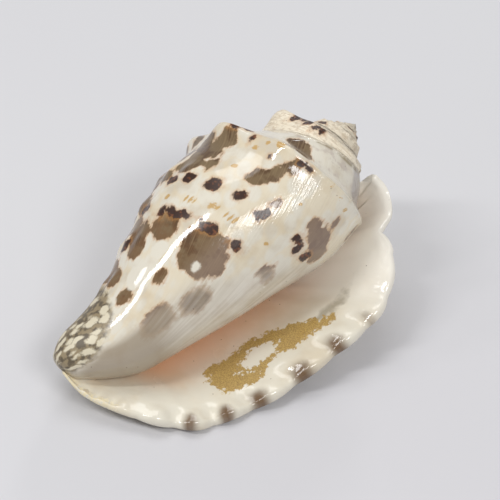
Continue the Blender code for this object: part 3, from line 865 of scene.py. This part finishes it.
class Graph:
    """Adds shader nodes and joins them. Each method gives back the new node's output."""

    def __init__(self, name):
        self.material = bpy.data.materials.new(name)
        self.material.use_nodes = True
        self.nodes = self.material.node_tree.nodes
        self.links = self.material.node_tree.links
        self.surface = self.nodes["Principled BSDF"]

    def put(self, socket, value):
        if isinstance(value, bpy.types.NodeSocket):
            self.links.new(value, socket)
        else:
            socket.default_value = value

    def node(self, kind, inputs=(), **settings):
        """A new node with its settings, and a value or another node's output on each input."""
        node = self.nodes.new("ShaderNode" + kind)
        for name, value in settings.items():
            setattr(node, name, value)
        for name in inputs:
            self.put(node.inputs[name], inputs[name])
        return node

    def amount(self, name):
        return self.node("Attribute", attribute_name=name).outputs["Fac"]

    def math(self, operation, first, second):
        return self.node("Math", {0: first, 1: second}, operation=operation).outputs[0]

    def times(self, first, second):
        return self.math("MULTIPLY", first, second)

    def plus(self, first, *others):
        for other in others:
            first = self.math("ADD", first, other)
        return first

    def swing(self, pattern, reach, middle=0.5):
        """A pattern as a value either side of 0."""
        return self.times(self.math("SUBTRACT", pattern, middle), reach)

    def ease(self, value, low, high, start=0.0, end=1.0):
        """Smooth rise from start to end as value goes from low to high."""
        inputs = {"Value": value, "From Min": low, "From Max": high, "To Min": start, "To Max": end}
        return self.node("MapRange", inputs, interpolation_type="SMOOTHSTEP").outputs[0]

    def mix(self, share, first, second):
        """Mix of two colours."""
        return self.node("Mix", {0: share, 6: first, 7: second}, data_type="RGBA").outputs[2]

    def blend(self, share, first, second):
        """Mix of two numbers."""
        return self.node("Mix", {0: share, 2: first, 3: second}).outputs[0]

    def place(self):
        """Place on the object in millimetres."""
        where = self.node("TexCoord").outputs["Object"]
        return self.node("VectorMath", {0: where, "Scale": 1 / MM}, operation="SCALE").outputs[0]

    def along(self, first, second, first_scale, second_scale):
        """A flat pattern's place from two amounts, each with its own stretch."""
        parts = {0: self.times(first, first_scale), 1: self.times(second, second_scale)}
        return self.node("CombineXYZ", parts).outputs[0]

    def noise(self, where, scale=1.0, detail=3.0, roughness=0.5):
        """Cloudy pattern, about 0.5 on average."""
        inputs = {"Vector": where, "Scale": scale, "Detail": detail, "Roughness": roughness}
        return self.node("TexNoise", inputs).outputs["Fac"]

    def cells(self, where, scale=1.0, randomness=1.0):
        """Distance from the middle of the nearest of many cells."""
        inputs = {"Vector": where, "Scale": scale, "Randomness": randomness}
        return self.node("TexVoronoi", inputs).outputs["Distance"]

    def bump(self, height, strength, distance, below=None):
        """Relief of a pattern, on top of the relief below."""
        inputs = {"Height": height, "Strength": strength, "Distance": distance}
        if below is not None:
            inputs["Normal"] = below
        return self.node("Bump", inputs).outputs[0]


# Colours of the shell
CREAM = srgb(226, 220, 204)
WARM_CREAM = srgb(210, 199, 178)
OVAL_YELLOW = srgb(226, 204, 160)
AMBER = srgb(196, 140, 78)
TAN = srgb(196, 156, 88)
PATCH = srgb(122, 102, 74)
PATCH_DEEP = srgb(82, 56, 34)
PATCH_LINE = srgb(148, 126, 94)
PATCH_MAUVE = srgb(150, 128, 112)
PATCH_RUDDY = srgb(118, 84, 52)
CHOCOLATE = srgb(54, 27, 10)
CHOCOLATE_RED = srgb(116, 66, 32)
TIP_DARK = srgb(96, 84, 64)
TIP_OLIVE = srgb(148, 132, 102)
TIP_WHITE = srgb(218, 208, 182)
SPIRE_BEIGE = srgb(246, 234, 210)
SPIRE_BROWN = srgb(196, 174, 144)
KHAKI = srgb(138, 122, 86)
MAUVE = srgb(190, 176, 164)
# Grey of the strip by the lip's lobe: thin glaze, and painted shade
STRIP_GLAZE_AND_SHADE = srgb(180, 172, 164)
STRIP_GLAZE_AND_SHADE_DEEP = srgb(158, 148, 142)
GLAZE = srgb(190, 178, 160)
GLAZE_LOW = srgb(160, 145, 124)
COLUMELLA = srgb(230, 222, 210)
LIP_CREAM = srgb(231, 225, 208)
LIP_WARM = srgb(222, 211, 188)
# Pale beige of the lobe, and painted light on the lip's upper part
LOBE_BEIGE_AND_PAINTED_LIGHT = srgb(246, 241, 230)
PEACH = srgb(227, 166, 118)
RIM_BROWN = srgb(112, 86, 60)
OCHRE = srgb(194, 160, 78)
OCHRE_DEEP = srgb(156, 120, 48)
SMEAR_GREY = srgb(138, 126, 102)
CHALK = srgb(236, 222, 184)

# Its shine, and the heights of the fine relief
SHELL_IOR = 1.6
LINE_RELIEF = 0.12 * MM
CORD_RELIEF = 0.5 * MM
GRAIN_RELIEF = 0.08 * MM
WIDE_RELIEF = 0.4 * MM


class ShellGraph(Graph):
    """The shell's material, with the patterns and masks that its parts share."""

    def __init__(self):
        super().__init__("shell_surface")
        self.where = self.place()
        self.growth = self.amount("growth")
        self.cord = self.amount("cord")
        self.veil = self.amount("veil")
        self.inside = self.ease(self.amount("inside"), 0.12, 0.4)
        self.ragged = self.swing(self.cloud(0.5), 2.2)
        self.fine = self.swing(self.cloud(3.0), 0.35)
        self.wobble = self.plus(self.ragged, self.fine)
        self.lines = self.noise(self.stretched(4.0, 0.12), detail=2.0)
        self.cords = self.noise(self.stretched(0.15, 3.2))
        self.grain = self.cloud(4.0, 4.0, 0.7)
        self.soft = self.blend(self.veil, 0.16, 0.9)
        self.hard = self.times(self.soft, -1.0)
        self.spot_mask = self.ease(self.mark("dark"), self.hard, self.soft)
        torn = self.swing(self.cloud(1.1, 4.0, 0.65), 3.4, 0.56)
        stain = self.plus(self.amount("stain"), torn, self.times(self.grain, 0.6))
        self.stain_mask = self.ease(stain, 0.15, 0.4, 0.0, 0.92)
        self.chalk = self.times(self.amount("chalk"), self.ease(self.cloud(1.4), 0.4, 0.55))

    def cloud(self, scale, detail=3.0, roughness=0.5):
        return self.noise(self.where, scale, detail, roughness)

    def stretched(self, across, down):
        """Place for a pattern that follows the whorl: across the growth lines and down the rows."""
        return self.along(self.growth, self.cord, across, down)

    def mark(self, name, *more):
        """How far inside a mark a point lies, with the mark's uneven edge."""
        return self.plus(self.amount(name), self.wobble, *more)


def ground_colour(g):
    """Cream, with faint ovals and growth lines."""
    colour = g.mix(g.ease(g.cloud(0.22, 4.0), 0.42, 0.7), CREAM, WARM_CREAM)
    ovals = g.ease(g.cells(g.stretched(0.5, 0.38), randomness=0.8), 0.42, 0.7, 0.0, 0.32)
    plain = g.math("MAXIMUM", g.veil, g.amount("ramp"))
    colour = g.mix(g.times(ovals, g.math("SUBTRACT", 1.0, plain)), colour, OVAL_YELLOW)
    return g.mix(g.ease(g.lines, 0.5, 0.75, 0.0, 0.25), colour, WARM_CREAM)


def spire_colour(g, colour):
    """Clouded ramp, grey strip of glaze and painted shade by the seam, worn spire and the seam's khaki
    groove.
    """
    clouds = g.ease(g.cloud(0.4), 0.52, 0.66, 0.0, 0.6)
    colour = g.mix(g.times(clouds, g.amount("ramp")), colour, MAUVE)
    # Grey strip by the lip's lobe, partly glaze and partly painted shade
    strip = g.mix(g.ease(g.cloud(0.5), 0.45, 0.62), STRIP_GLAZE_AND_SHADE, STRIP_GLAZE_AND_SHADE_DEEP)
    colour = g.mix(g.amount("strip"), colour, strip)
    worn = g.mix(g.ease(g.cords, 0.46, 0.66, 0.0, 0.5), SPIRE_BEIGE, SPIRE_BROWN)
    stains = g.ease(g.cloud(1.1, 4.0, 0.6), 0.5, 0.64, 0.0, 0.6)
    worn = g.mix(stains, worn, SPIRE_BROWN)
    colour = g.mix(g.times(g.amount("spire"), 0.85), colour, worn)
    groove = g.times(g.amount("seam"), g.ease(g.cloud(0.5), 0.35, 0.55))
    return g.mix(g.times(groove, 0.8), colour, KHAKI)


def patch_colour(g, colour):
    """Tan dashes, and grey brown patches with an amber edge."""
    dashes = g.plus(g.amount("tan"), g.fine)
    colour = g.mix(g.ease(dashes, -0.05, 0.12, 0.0, 0.85), colour, TAN)
    patch = g.mark("patch", g.swing(g.noise(g.stretched(1.6, 0.12)), 1.2))
    colour = g.mix(g.ease(patch, -0.6, 0.1, 0.0, 0.55), colour, AMBER)
    deep = g.ease(g.cloud(0.3), 0.46, 0.62)
    brown = g.mix(g.times(deep, 0.8), PATCH, PATCH_DEEP)
    brown = g.mix(g.ease(g.lines, 0.48, 0.7, 0.0, 0.55), brown, PATCH_LINE)
    brown = g.mix(g.times(g.amount("scratch"), 0.6), brown, PATCH_MAUVE)
    ruddy = g.times(g.amount("ruddy"), g.ease(g.ragged, -0.2, 0.2, 0.15, 0.6))
    brown = g.mix(ruddy, brown, PATCH_RUDDY)
    return g.mix(g.ease(patch, g.hard, g.soft), colour, brown)


def spot_colour(g, colour):
    """Chocolate spots with an amber edge, and the white ones on top."""
    colour = g.mix(g.ease(g.mark("dark"), -0.7, 0.1, 0.0, 0.45), colour, AMBER)
    brown = g.mix(g.ease(g.cloud(1.2, 2.0), 0.5, 0.7), CHOCOLATE, CHOCOLATE_RED)
    colour = g.mix(g.spot_mask, colour, brown)
    return g.mix(g.ease(g.mark("white"), -0.3, 0.3), colour, CREAM)


def tip_colour(g, colour):
    """White chequer of the front tip, on dark olive."""
    place = g.along(g.plus(g.amount("round"), g.ragged), g.cord, 0.62, 0.46)
    gaps = g.plus(g.cells(place, randomness=0.9), g.times(g.fine, 0.7))
    olive = g.mix(g.ease(g.cloud(0.9), 0.42, 0.6), TIP_DARK, TIP_OLIVE)
    chequer = g.mix(g.ease(gaps, 0.36, 0.58), TIP_WHITE, olive)
    edge = g.plus(g.amount("tip"), g.times(g.wobble, 0.5))
    return g.mix(g.ease(edge, 0.2, 0.8), colour, chequer)


def glaze_colour(g, colour):
    """Clear glaze over the lower front."""
    low = g.amount("low")
    milky = g.mix(g.ease(g.noise(g.stretched(1.2, 0.05)), 0.36, 0.72), GLAZE, COLUMELLA)
    milky = g.mix(low, milky, GLAZE_LOW)
    return g.mix(g.times(g.plus(g.veil, low), 0.42), colour, milky)


def lip_colour(g):
    """Inside of the lip: cream, paler lobe and painted light on its upper part, peach where it is deep,
    grey smear, ochre stain.
    """
    colour = g.mix(g.ease(g.cloud(0.12), 0.4, 0.7), LIP_CREAM, LIP_WARM)
    # Pale lobe colour, partly painted light down the lip's upper part
    colour = g.mix(g.times(g.amount("lobe"), 0.8), colour, LOBE_BEIGE_AND_PAINTED_LIGHT)
    colour = g.mix(g.amount("peach"), colour, PEACH)
    colour = g.mix(g.times(g.amount("facing"), 0.7), colour, COLUMELLA)
    smear = g.ease(g.plus(g.amount("smear"), g.ragged), -0.6, 0.7, 0.0, 0.6)
    colour = g.mix(smear, colour, SMEAR_GREY)
    ochre = g.mix(g.ease(g.grain, 0.38, 0.62), OCHRE_DEEP, OCHRE)
    return g.mix(g.stain_mask, colour, ochre)


def rim_colour(g, colour):
    """Brown blotches between the scallops, dark specks, and chalk at the lip's front end."""
    blotch = g.plus(g.amount("blotch"), g.times(g.wobble, 0.12))
    colour = g.mix(g.ease(blotch, 0.1, 1.05), colour, RIM_BROWN)
    specks = g.ease(g.cells(g.where, 0.35), 0.045, 0.03)
    colour = g.mix(g.times(specks, 0.7), colour, PATCH_DEEP)
    return g.mix(g.chalk, colour, CHALK)


def shell_roughness(g):
    """Polished, and duller on each of the parts below."""
    rough = g.ease(g.cloud(0.6), 0.35, 0.7, 0.03, 0.08)
    for share, value in (
        (g.veil, 0.13),
        (g.amount("spire"), 0.5),
        (g.amount("tip"), 0.45),
        (g.inside, 0.1),
        (g.stain_mask, 0.55),
        (g.spot_mask, 0.3),
        (g.chalk, 0.7),
    ):
        rough = g.blend(share, rough, value)
    return rough


def shell_relief(g):
    """Growth lines, cords of the spire, grain of the stain, and slight unevenness all over."""
    ridges = g.plus(g.lines, g.times(g.cloud(1.5, 4.0), 0.4))
    outside = g.math("SUBTRACT", 1.0, g.inside)
    strength = g.times(outside, g.blend(g.amount("scratch"), 0.08, 0.55))
    normal = g.bump(ridges, strength, LINE_RELIEF)
    normal = g.bump(g.cords, g.times(g.amount("spire"), 0.9), CORD_RELIEF, normal)
    normal = g.bump(g.grain, g.times(g.stain_mask, 0.5), GRAIN_RELIEF, normal)
    strength = g.blend(g.inside, 0.05, 0.3)
    return g.bump(g.cloud(0.25, 2.0), strength, WIDE_RELIEF, normal)


def shell_material():
    g = ShellGraph()
    colour = ground_colour(g)
    for lay_over in (spire_colour, patch_colour, spot_colour, tip_colour, glaze_colour):
        colour = lay_over(g, colour)
    colour = rim_colour(g, g.mix(g.inside, colour, lip_colour(g)))
    g.put(g.surface.inputs["Base Color"], colour)
    g.put(g.surface.inputs["Roughness"], shell_roughness(g))
    g.put(g.surface.inputs["Normal"], shell_relief(g))
    g.surface.inputs["IOR"].default_value = SHELL_IOR
    return g.material


FLOOR = srgb(211, 211, 213)
FLOOR_DIM = srgb(207, 206, 209)
FLOOR_HALF = 3.0
FLOOR_ROUGHNESS = 0.7


def add_floor():
    """A plain floor, 6 m square."""
    corners = [(x * FLOOR_HALF, y * FLOOR_HALF, 0.0) for x, y in ((-1, -1), (1, -1), (1, 1), (-1, 1))]
    mesh = bpy.data.meshes.new("floor")
    mesh.from_pydata(corners, [], [(0, 1, 2, 3)])
    g = Graph("floor")
    shade = g.mix(g.ease(g.noise(g.place(), 0.004, 2.0), 0.3, 0.7), FLOOR, FLOOR_DIM)
    g.put(g.surface.inputs["Base Color"], shade)
    g.surface.inputs["Roughness"].default_value = FLOOR_ROUGHNESS
    mesh.materials.append(g.material)
    floor = bpy.data.objects.new("floor", mesh)
    bpy.context.scene.collection.objects.link(floor)


# The photo's view, in the shell's own directions: right, up and into the picture, from its tilt and
# the cosine and sine of its roll
VIEW_TILT = math.radians(15.0)
ROLL_COS = 0.623
ROLL_SIN = 0.783
VIEW_RIGHT = (ROLL_COS, -ROLL_SIN * math.sin(VIEW_TILT), ROLL_SIN * math.cos(VIEW_TILT))
VIEW_UP = (-ROLL_SIN, -ROLL_COS * math.sin(VIEW_TILT), ROLL_COS * math.cos(VIEW_TILT))
VIEW_IN = (0.0, math.cos(VIEW_TILT), math.sin(VIEW_TILT))
VIEW_MIDDLE = (8.0, 0.0, 37.0)
VIEW_OFFSET = (3.6, 4.95)
VIEW_DISTANCE = 600.0
VIEW_WIDTH = 95.24
SENSOR_WIDTH = 36.0

# Lights, with directions as right, up and toward the viewer: where each stands, how far off, where
# its long side points, its length and width in metres, and its brightness
LIGHTS = {
    "streak": ((-0.52, 0.44, 0.73), 0.7, (0.24, 0.1, 0.12), 0.3, 0.055, 26.0),
    "band": ((0.38, 0.12, 0.92), 0.9, (0.39, 0.1, -0.17), 0.42, 0.17, 12.5),
    "back_left": ((0.2, 0.88, -0.42), 0.8, (1.0, 0.0, 0.0), 0.12, 0.16, 14.0),
    "side": ((-0.8, 0.41, 0.44), 0.8, (0.0, 1.0, 0.0), 0.14, 0.1, 9.0),
    "overhead": ((-0.05, 0.92, 0.38), 1.0, (1.0, 0.0, 0.0), 0.7, 0.45, 2.4),
}
WORLD_STRENGTH = 0.37
WORLD_COLOUR = srgb(252, 252, 255)


def view_axes():
    """The photo's right, up and outward directions in the frame."""
    basis = resting_basis()
    right, up, inward = (Vector(np.array(v) @ basis) for v in (VIEW_RIGHT, VIEW_UP, VIEW_IN))
    return right.normalized(), up.normalized(), -inward.normalized()


def aimed(across, up, away, where):
    """Matrix of a camera or light, its own z pointing away from what it looks at."""
    return Matrix.Translation(where) @ Matrix((across, up, away)).transposed().to_4x4()


def add_camera():
    """Camera of the photo's view. Gives back the point that it looks at."""
    right, up, back = view_axes()
    shift = np.array(VIEW_OFFSET) @ np.array((VIEW_RIGHT, VIEW_UP))
    target = Vector(in_frame(np.array(VIEW_MIDDLE) + shift))
    data = bpy.data.cameras.new("camera")
    data.sensor_width = SENSOR_WIDTH
    data.lens = SENSOR_WIDTH * VIEW_DISTANCE / VIEW_WIDTH
    camera = bpy.data.objects.new("camera", data)
    bpy.context.scene.collection.objects.link(camera)
    camera.matrix_world = aimed(right, up, back, target + back * VIEW_DISTANCE * MM)
    bpy.context.scene.camera = camera
    return target


def add_lights(target):
    """Soft boxes round the shell, and an even pale surrounding."""
    axes = np.array([tuple(axis) for axis in view_axes()])
    for name, (direction, distance, long_side, length, width, brightness) in LIGHTS.items():
        away = Vector(np.array(direction) @ axes).normalized()
        across = away.cross(Vector(np.array(long_side) @ axes)).normalized()
        data = bpy.data.lights.new(name, "AREA")
        data.shape = "RECTANGLE"
        data.size = length
        data.size_y = width
        data.energy = math.pi * length * width * brightness
        light = bpy.data.objects.new(name, data)
        light.matrix_world = aimed(across.cross(away), across, away, target + away * distance)
        bpy.context.scene.collection.objects.link(light)
    world = bpy.data.worlds.new("studio")
    world.use_nodes = True
    background = world.node_tree.nodes["Background"]
    background.inputs["Color"].default_value = WORLD_COLOUR
    background.inputs["Strength"].default_value = WORLD_STRENGTH
    bpy.context.scene.world = world


mesh = shell_mesh()
mesh.materials.append(shell_material())
shell = bpy.data.objects.new("shell_surface", mesh)
bpy.context.scene.collection.objects.link(shell)
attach(shell, "root")
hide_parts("shell")

add_floor()
add_lights(add_camera())
bpy.context.scene.view_settings.view_transform = "Standard"
